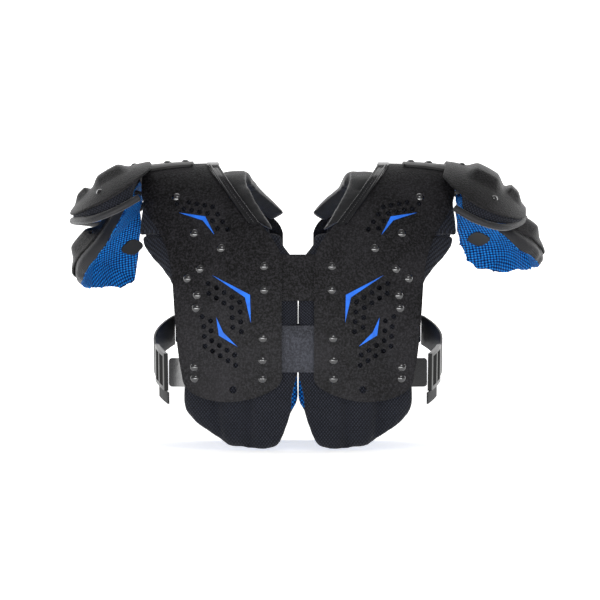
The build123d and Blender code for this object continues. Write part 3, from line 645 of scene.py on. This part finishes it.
def make_lower_pad(side, face):
    name = f"{side}_{'front' if face < 0 else 'back'}"
    pad = remeshed(f"{name}_padding", f"{name}_pad", VOXEL)
    inflate(pad, 0.0035, 0.0010)
    relaxed(pad, 0.5, 3)
    subdivided(pad)
    points = coordinates(pad.data)
    outward = normals(pad.data)[:, 1] * face
    u = np.abs(points[:, 0])
    low = 1 - smooth_step(points[:, 2], *LOBE_TOP)
    shift = fold_noise(points, (30, 30, 9), 3.1 * face + SIDES[side]) * PAD_FOLD
    for channel, lean in zip(PAD_CHANNELS, (0.0, CHANNEL_LEAN)):
        line = channel - lean * np.maximum(0, LEAN_START - points[:, 2])
        shift += grooves(u - line, CHANNEL_DEPTH, CHANNEL_WIDTH) * np.maximum(outward, 0)
    lobes = np.cos((u - LOBE_MIDDLE) / LOBE_WIDTH * math.pi) * LOBE_WAVE
    shift += (lobes + LOBE_SWELL) * low * np.maximum(outward, 0)
    hem = smooth_step(points[:, 2], PAD_HEM - 0.010, PAD_HEM - 0.007)
    shift += HEM_ROLL * hem * (points[:, 2] < PAD_HEM)
    push(pad, shift)
    points = coordinates(pad.data)
    beside = (points[:, 2] > GAP_HEIGHTS[0]) & (points[:, 2] < GAP_HEIGHTS[1])
    gap = np.abs(points[beside, 0]).min()
    closing = (gap - MIDDLE_GAP) * smooth_step(points[:, 2], *MIDDLE_CLOSED_FROM[face])
    points[:, 0] -= SIDES[side] * closing * (1 - smooth_step(np.abs(points[:, 0]), gap, gap + MIDDLE_BLEND))
    top = points[:, 2].max()
    points[:, 2] += (PAD_HEM + HEM_REACH - top) * smooth_step(points[:, 2], top - 0.010, top - 0.002)
    set_coordinates(pad.data, points)
    shade_smooth(pad.data)
    store_weave(pad, torso_weave(points))
    dress(pad, "spacer_mesh", "root")
    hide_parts(f"{name}_pad")
    return pad


LINING_THICKNESS = 0.0009
LINING_LIFT = 0.0004
EDGE_ROUNDS = 14              # how often a lining's cut edge is evened out


def make_lining(name, pad, node, inward, body, facing):
    """Thin mesh lining on the faces of a pad that point inwards by at least facing.

    inward gives that direction at each face.
    """
    mesh = pad.data.copy()
    bm = bmesh.new()
    bm.from_mesh(mesh)
    bm.normal_update()
    outside = [f for f in bm.faces if f.normal.dot(inward(f.calc_center_median())) < facing]
    bmesh.ops.delete(bm, geom=outside, context="FACES")
    for _ in range(EDGE_ROUNDS):
        moves = []
        for vert in bm.verts:
            edge = [e.other_vert(vert).co for e in vert.link_edges if e.is_boundary]
            if len(edge) == 2:
                moves.append((vert, vert.co * 0.4 + (edge[0] + edge[1]) * 0.3))
        for vert, place in moves:
            vert.co = place
    for vert in bm.verts:
        vert.co += vert.normal * LINING_LIFT
    bm.to_mesh(mesh)
    bm.free()
    lining = new_object(name, mesh)
    thick = lining.modifiers.new("thickness", "SOLIDIFY")
    thick.thickness = LINING_THICKNESS
    thick.offset = 1
    bake_modifiers(lining)
    shade_smooth(lining.data)
    dress(lining, "blue_mesh", body)
    if node:
        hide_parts(node)
    return lining


for side in SIDES:
    for face, word in ((-1, "front"), (1, "back")):
        pad = make_lower_pad(side, face)
        make_lining(f"{side}_{word}_inner", pad, f"{side}_{word}_lining",
                    lambda _, face=face: Vector((0, -face, 0)), "root", 0.8)


SHOULDER_FOLD = 0.0010
ROLL_FOLD = 0.0016
ROLL_CREASE = 0.0012


def make_shoulder_pad(side):
    pad = remeshed(f"{side}_shoulder_padding", f"{side}_shoulder_pad", VOXEL)
    inflate(pad, 0.0030, 0.0010)
    relaxed(pad, 0.5, 3)
    subdivided(pad)
    points = coordinates(pad.data)
    shift = fold_noise(points, (25, 18, 25), 7.7 + SIDES[side]) * SHOULDER_FOLD
    hem = 1 - smooth_step(points[:, 2], PAD_HEM + 0.007, PAD_HEM + 0.010)
    push(pad, shift + HEM_ROLL * hem)
    points = coordinates(pad.data)
    foot = points[:, 2].min()
    points[:, 2] -= (foot - PAD_HEM) * (1 - smooth_step(points[:, 2], foot + 0.002, foot + 0.010))
    set_coordinates(pad.data, points)
    shade_smooth(pad.data)
    store_weave(pad, torso_weave(coordinates(pad.data)))
    dress(pad, "spacer_mesh", "root")
    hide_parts(f"{side}_shoulder_pad")


def make_neck_roll(side):
    roll = remeshed(f"{side}_neck_cushion", f"{side}_neck_roll", VOXEL)
    inflate(roll, 0.0060, 0.0015, 6.0)
    relaxed(roll, 0.5, 4)
    subdivided(roll)
    points = coordinates(roll.data)
    folds = fold_noise(points, (35, 22, 70), 11.3 * SIDES[side])
    creases = np.maximum(0, fold_noise(points, (60, 40, 130), 2.2)) ** 2
    push(roll, ROLL_FOLD * folds - ROLL_CREASE * creases)
    shade_smooth(roll.data)
    store_weave(roll, torso_weave(coordinates(roll.data)))
    dress(roll, "nylon", "root")
    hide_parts(f"{side}_neck_roll")


for side in SIDES:
    make_shoulder_pad(side)
    make_neck_roll(side)


# ------------------------------------------------------------- epaulets
SHELL_VOXEL = 0.0011
EPAULET_PAD_VOXEL = 0.0036
EPAULET_PAD_TOP = 0.0029
EPAULET_PAD_INNER = 0.022
EPAULET_PAD_OUTER = 0.011
EPAULET_FOLD = 0.0007
BINDING_START = 0.026
BINDING_RADIUS = 0.0042
BINDING_SHARE = 0.6           # of its radius that the binding stands above the pad's lower edge
BINDING_OUT = 0.0015

# Raised ribs of the shells: height, then where each rises and falls along the shell, and fades out across it.
EPAULET_BUMPS = [(0.0075, (0.024, 0.040), (0.064, 0.078), (0.030, 0.056)),
                 (0.0070, (0.078, 0.087), (0.095, 0.106), (0.016, 0.036))]
CAP_BUMPS = [(0.0045, (0.022, 0.034), (0.050, 0.060), (0.020, 0.042)),
             (0.0085, (0.062, 0.076), (0.100, 0.116), (0.022, 0.050))]


def raised(bumps, along, across):
    """Height of the bumps at each place of a shell."""
    return sum(height * smooth_step(along, *rise) * (1 - smooth_step(along, *fall))
               * (1 - smooth_step(np.abs(across), *fade)) for height, rise, fall, fade in bumps)


def epaulet_height(u, y, below):
    """Height of the epaulet's pad, moved down by below."""
    radius = EPAULET_CROSS_RADIUS - EPAULET_PAD_TOP
    cross = radius - np.sqrt(np.maximum(radius ** 2 - y ** 2, 1e-6))
    return EPAULET_LIFT * u - EPAULET_DROOP * u * u - below - cross


def make_epaulet(side):
    axes = epaulet_axes(side)
    body = f"{side}_epaulet_flap"
    shell = remeshed(f"{side}_epaulet_shell", f"{side}_epaulet", SHELL_VOXEL)
    relaxed(shell, 0.5, 4)
    local = to_local(coordinates(shell.data), axes)
    local[:, 2] += raised(EPAULET_BUMPS, local[:, 0], local[:, 1])
    set_coordinates(shell.data, to_world(local, axes))
    relaxed(shell, 0.5, 2)
    shade_smooth(shell.data)
    dress(shell, "moulded_shell", body)
    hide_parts(f"{side}_epaulet")

    pad = remeshed(f"{side}_epaulet_padding", f"{side}_epaulet_pad", EPAULET_PAD_VOXEL)
    inflate(pad, 0.0025, 0.0016)
    relaxed(pad, 0.5, 3)
    subdivided(pad)
    push(pad, EPAULET_FOLD * fold_noise(coordinates(pad.data), (40, 40, 60), 5.5))
    shade_smooth(pad.data)
    local = to_local(coordinates(pad.data), axes)
    level = np.abs((normals(pad.data) @ axes[1].T)[:, 2]) > 0.5
    store_weave(pad, np.stack([local[:, 0], np.where(level, local[:, 1], local[:, 2]), local[:, 2]], axis=1))
    dress(pad, "spacer_mesh", body)
    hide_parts(f"{side}_epaulet_pad")
    make_lining(f"{side}_epaulet_inner", pad, None, lambda _: Vector(-axes[1][2]), body, 0.6)

    outline = [(u, -y) for u, y in EPAULET_OUTLINE] + [(u, y) for u, y in reversed(EPAULET_OUTLINE)]
    line = smooth_line(outline, 8)
    line = line[line[:, 0] > BINDING_START]
    u, y = line[:, 0], line[:, 1]
    grown = 1 + BINDING_OUT / np.maximum(np.abs(y), 0.02)
    below = EPAULET_PAD_TOP + EPAULET_PAD_INNER + (EPAULET_PAD_OUTER - EPAULET_PAD_INNER) * u / EPAULET_LENGTH
    places = np.stack([u, y * grown, epaulet_height(u, y, below - BINDING_RADIUS * BINDING_SHARE)], axis=1)
    piping = tube(f"{side}_epaulet_binding", to_world(places, axes), BINDING_RADIUS)
    store_weave(piping, to_local(coordinates(piping.data), axes))
    dress(piping, "binding", body)


for side in SIDES:
    make_epaulet(side)


# ------------------------------------------------------------- caps
CAP_PAD_VOXEL = 0.0034
CAP_FOLD = 0.0013
CAP_SEAM = 0.035              # sewn lines of the cap's pad, from its middle
CAP_SEAM_DEPTH = 0.0016
CAP_SEAM_WIDTH = 0.005


def cap_centre(p):
    """How far inwards of the hinge the cap's axis lies, at p along the cap."""
    places = [place * MM for place, _ in CAP_CREST]
    crests = [crest * MM for _, crest in CAP_CREST]
    return np.interp(p, places, crests) - CAP_RADIUS


def cap_weave(points, axes):
    local = to_local(points, axes)
    out = local[:, 0] - cap_centre(-local[:, 2])
    return np.stack([np.arctan2(local[:, 1], out) * CAP_RADIUS, -local[:, 2], out], axis=1)


def make_cap(side):
    axes = cap_axes(side)
    body = f"{side}_cap_cup"
    shell = remeshed(f"{side}_cap_shell", f"{side}_cap", SHELL_VOXEL)
    relaxed(shell, 0.5, 4)
    local = to_local(coordinates(shell.data), axes)
    p, y = -local[:, 2], local[:, 1]
    out = local[:, 0] - cap_centre(p)
    length = np.maximum(np.hypot(out, y), 1e-6)
    rise = raised(CAP_BUMPS, p, y)
    local[:, 0] += rise * out / length
    local[:, 1] += rise * y / length
    set_coordinates(shell.data, to_world(local, axes))
    relaxed(shell, 0.5, 2)
    shade_smooth(shell.data)
    dress(shell, "moulded_shell", body)
    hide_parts(f"{side}_cap")

    pad = remeshed(f"{side}_cap_padding", f"{side}_cap_pad", CAP_PAD_VOXEL)
    inflate(pad, 0.0022, 0.0014)
    relaxed(pad, 0.5, 3)
    subdivided(pad)
    weave = cap_weave(coordinates(pad.data), axes)
    puff = fold_noise(weave, (45, 28, 30), 4.4 * SIDES[side]) * CAP_FOLD
    puff += grooves(np.abs(weave[:, 0]) - CAP_SEAM, CAP_SEAM_DEPTH, CAP_SEAM_WIDTH)
    push(pad, puff)
    shade_smooth(pad.data)
    store_weave(pad, cap_weave(coordinates(pad.data), axes))
    dress(pad, "binding", body)
    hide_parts(f"{side}_cap_pad")

    def inward(point):
        here = to_local(np.array([point]), axes)[0]
        out_now = here[0] - float(cap_centre(-here[2]))
        return Vector(to_world(np.array([-out_now, -here[1], 0]), (np.zeros(3), axes[1]))).normalized()

    make_lining(f"{side}_cap_inner", pad, f"{side}_cap_lining", inward, body, 0.35)


for side in SIDES:
    make_cap(side)


# ------------------------------------------------------------- side straps
STRAP_EDGE = 0.0005


def make_strap(side, node, material, name):
    piece = new_object(name, NODES[f"{side}_{node}"].data.copy())
    bevelled(piece, STRAP_EDGE)
    bake_modifiers(piece)
    points = coordinates(piece.data)
    store_weave(piece, np.stack([points[:, 2], points[:, 1], points[:, 0]], axis=1))
    dress(piece, material, f"{side}_strap")
    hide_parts(f"{side}_{node}")


for side in SIDES:
    make_strap(side, "side_strap", "elastic", f"{side}_elastic_band")
    make_strap(side, "strap_tail", "webbing", f"{side}_webbing_end")


# ------------------------------------------------------------- floor, light, camera
MIDDLE = (0, 0, 0.2)
LIGHTS = [
    ("floor_card", (-0.12, -0.8, 0.03), (0, 0, 0.22), (1.2, 0.22), 6),
    ("upper_front", (0.25, -1.3, 1.1), MIDDLE, (0.8, 0.35), 5),
    ("left_rim", (-1.6, 0.5, 0.7), MIDDLE, (0.5, 1.2), 7),
    ("right_rim", (1.6, 0.5, 0.7), MIDDLE, (0.5, 1.2), 8),
    ("top", (0, 0.6, 1.8), MIDDLE, (1.2, 0.6), 4),
]
WORLD_LIGHT = 0.3
FLOOR_REACH = 6
BACKDROP_PLACE = 5
BACKDROP_HEIGHT = 5
CAMERA_PLACE = (0.0024, -3.06, 0.1776)
CAMERA_LENS = 150


def area_light(name, place, target, size, power):
    data = bpy.data.lights.new(name, "AREA")
    data.shape = "RECTANGLE"
    data.size, data.size_y = size
    data.energy = power
    lamp = bpy.data.objects.new(name, data)
    lamp.location = place
    lamp.rotation_euler = (Vector(target) - Vector(place)).to_track_quat("-Z", "Y").to_euler()
    lamp.visible_camera = False
    bpy.context.scene.collection.objects.link(lamp)


def stage_sheet(name, mesh, color, roughness, specular, glow):
    """Pale sheet behind or below the object, glowing a little so that it stays white."""
    sheet = new_object(name, mesh)
    made = Shader(name, color, roughness, specular=specular)
    made.shader.inputs["Emission Color"].default_value = (1, 1, 1, 1)
    made.shader.inputs["Emission Strength"].default_value = glow
    mesh.materials.append(made.material)
    return sheet


for light in LIGHTS:
    area_light(*light)

world = bpy.data.worlds.new("studio")
world.use_nodes = True
world.node_tree.nodes["Background"].inputs["Color"].default_value = (1, 1, 1, 1)
world.node_tree.nodes["Background"].inputs["Strength"].default_value = WORLD_LIGHT
bpy.context.scene.world = world
bpy.context.scene.view_settings.view_transform = "Standard"

bm = bmesh.new()
bmesh.ops.create_grid(bm, x_segments=8, y_segments=8, size=FLOOR_REACH)
floor_mesh = bpy.data.meshes.new("floor")
bm.to_mesh(floor_mesh)
bm.free()
floor = stage_sheet("floor", floor_mesh, (0.9, 0.9, 0.9), 0.8, 0.1, 0.55)
backdrop_mesh = bpy.data.meshes.new("backdrop")
backdrop_mesh.from_pydata([(-FLOOR_REACH, BACKDROP_PLACE, 0), (FLOOR_REACH, BACKDROP_PLACE, 0),
                           (FLOOR_REACH, BACKDROP_PLACE, BACKDROP_HEIGHT),
                           (-FLOOR_REACH, BACKDROP_PLACE, BACKDROP_HEIGHT)], [], [(0, 1, 2, 3)])
backdrop = stage_sheet("backdrop", backdrop_mesh, (1, 1, 1), 1.0, 0.0, 0.9)

camera_data = bpy.data.cameras.new("camera")
camera_data.lens = CAMERA_LENS
camera_data.sensor_width = 36
camera = bpy.data.objects.new("camera", camera_data)
camera.location = CAMERA_PLACE
camera.rotation_euler = (math.radians(90), 0, 0)
bpy.context.scene.collection.objects.link(camera)
bpy.context.scene.camera = camera
